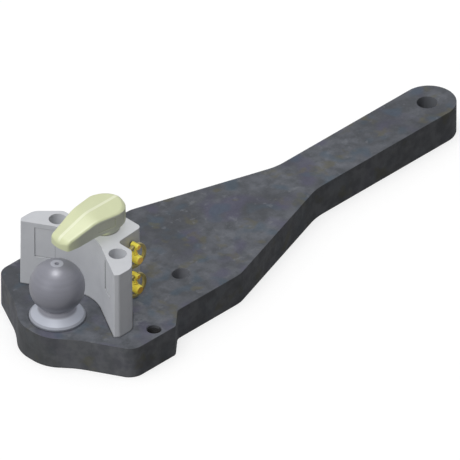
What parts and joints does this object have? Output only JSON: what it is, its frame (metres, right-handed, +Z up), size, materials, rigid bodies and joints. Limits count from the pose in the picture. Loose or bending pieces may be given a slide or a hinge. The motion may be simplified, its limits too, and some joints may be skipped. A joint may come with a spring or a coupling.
{
  "type": "tractor ball hitch bar",
  "caption": "Tractor drawbar with a coupling ball, a cast housing round it and a swinging hold-down over it, kept by cross pins with linch pins and rings.",
  "frame": {"origin": "axis of the drawbar pin bore at the bar's underside", "axes": "+X from the ball along the bar towards the tractor, +Y left seen from the ball, +Z up along the pin bore"},
  "size_m": [0.8465, 0.275, 0.2],
  "materials": {
    "bar_steel": "dark mottled scale, matte",
    "housing_paint": "light grey, satin, on a casting",
    "ball_steel": "turned and polished",
    "hold_down_paint": "pale cream-yellow, satin, on a casting",
    "yellow_zinc": "yellow zinc plating",
    "fastener_steel": "blackened steel",
    "bush_bronze": "plain bearing bronze"
  },
  "bodies": {
    "bar": {"drawbar": "bar_steel", "tow_ball": "ball_steel", "ball_washer": "fastener_steel", "ball_nut": "fastener_steel", "ball_cotter": "yellow_zinc", "hitch_housing": "housing_paint", "housing_screw_left": "fastener_steel", "housing_screw_right": "fastener_steel", "dowel_pin_left": "ball_steel", "dowel_pin_right": "ball_steel", "lower_bush": "bush_bronze", "upper_bush": "bush_bronze"},
    "hold_down": {"hold_down": "hold_down_paint"},
    "lower_locking_pin": {"lower_locking_pin": "yellow_zinc"},
    "lower_linch_pin": {"lower_linch_pin": "yellow_zinc"},
    "lower_linch_ring": {"lower_linch_ring": "yellow_zinc"},
    "upper_locking_pin": {"upper_locking_pin": "yellow_zinc"},
    "upper_linch_pin": {"upper_linch_pin": "yellow_zinc"},
    "upper_linch_ring": {"upper_linch_ring": "yellow_zinc"}
  },
  "joints": [
    {"name": "hold_down_swing", "type": "hinge", "parent": "bar", "child": "hold_down", "pos_m": [-0.6555, 0, 0.16], "axis": [0, 0, -1], "range_deg": [-180, 180]},
    {"name": "lower_pin_play", "type": "slide", "parent": "bar", "child": "lower_locking_pin", "axis": [0, 1, 0], "range_m": [0, 0.001]},
    {"name": "lower_linch_lift", "type": "slide", "parent": "lower_locking_pin", "child": "lower_linch_pin", "axis": [0, 0, 1], "range_m": [0, 0.003]},
    {"name": "lower_ring_swing", "type": "hinge", "parent": "lower_linch_pin", "child": "lower_linch_ring", "pos_m": [-0.64, -0.0476, 0.0892], "axis": [-1, 0, 0], "range_deg": [0, 150]},
    {"name": "upper_pin_play", "type": "slide", "parent": "bar", "child": "upper_locking_pin", "axis": [0, 1, 0], "range_m": [0, 0.001]},
    {"name": "upper_linch_lift", "type": "slide", "parent": "upper_locking_pin", "child": "upper_linch_pin", "axis": [0, 0, 1], "range_m": [0, 0.003]},
    {"name": "upper_ring_swing", "type": "hinge", "parent": "upper_linch_pin", "child": "upper_linch_ring", "pos_m": [-0.64, -0.0476, 0.1407], "axis": [-1, 0, 0], "range_deg": [0, 172]}
  ]
}
